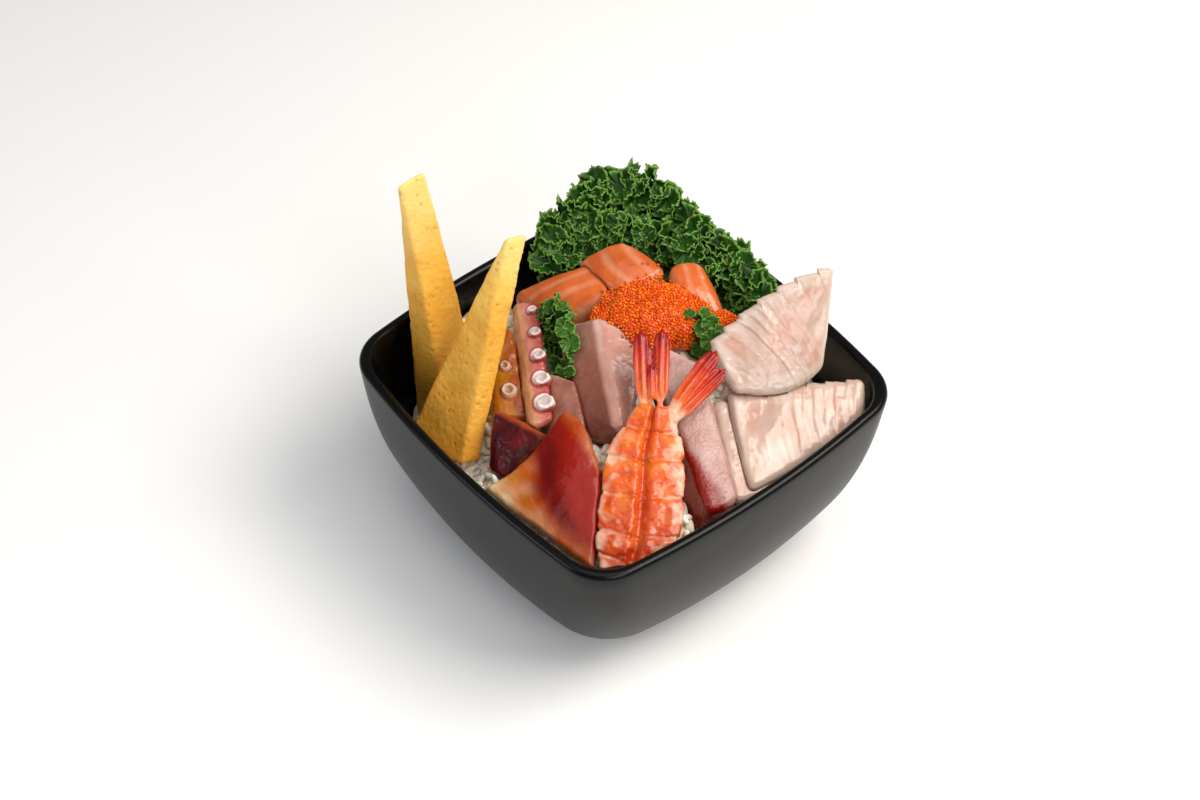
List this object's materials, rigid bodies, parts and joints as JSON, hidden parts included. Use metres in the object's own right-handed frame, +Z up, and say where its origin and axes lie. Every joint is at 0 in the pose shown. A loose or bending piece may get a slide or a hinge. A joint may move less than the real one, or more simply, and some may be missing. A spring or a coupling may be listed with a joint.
{
  "type": "chirashi bowl",
  "caption": "Square black bowl of rice topped with omelette wedges, sliced raw fish, octopus, surf clam, shrimp, fish roe and curly kale.",
  "frame": {"origin": "middle of the bowl's foot, on the surface that it stands on", "axes": "+Z up; the bowl's sides run along X and Y; the shrimp lies towards the corner at +X -Y, which faces the picture's camera"},
  "size_m": [0.15, 0.15, 0.1304],
  "materials": {
    "bowl_glaze": "matte black glaze outside, satin inside",
    "cooked_rice": "moist",
    "omelette": "moist, porous",
    "tuna": "moist",
    "white_fish": "moist, slightly translucent",
    "salmon": "moist",
    "surf_clam": "wet",
    "surf_clam_dark": "wet",
    "octopus_skin": "moist",
    "cooked_shrimp": "moist",
    "roe": "wet, translucent",
    "kale": "leaf"
  },
  "bodies": {
    "root": {"bowl": "bowl_glaze", "rice": "cooked_rice", "tamago_rear": "omelette", "tamago_front": "omelette", "shrimp": "cooked_shrimp", "clam_main": "surf_clam", "clam_dark": "surf_clam_dark", "octopus_front": "octopus_skin", "octopus_rear": "octopus_skin", "tuna_front": "tuna", "tuna_rear": "tuna", "pale_slice": "tuna", "salmon_left": "salmon", "salmon_middle": "salmon", "salmon_right": "salmon", "white_upper": "white_fish", "white_lower": "white_fish", "white_under": "white_fish", "roe_large": "roe", "roe_small": "roe", "kale_outer": "kale", "kale_inner": "kale", "kale_small_front": "kale", "kale_small_middle": "kale"}
  },
  "joints": []
}
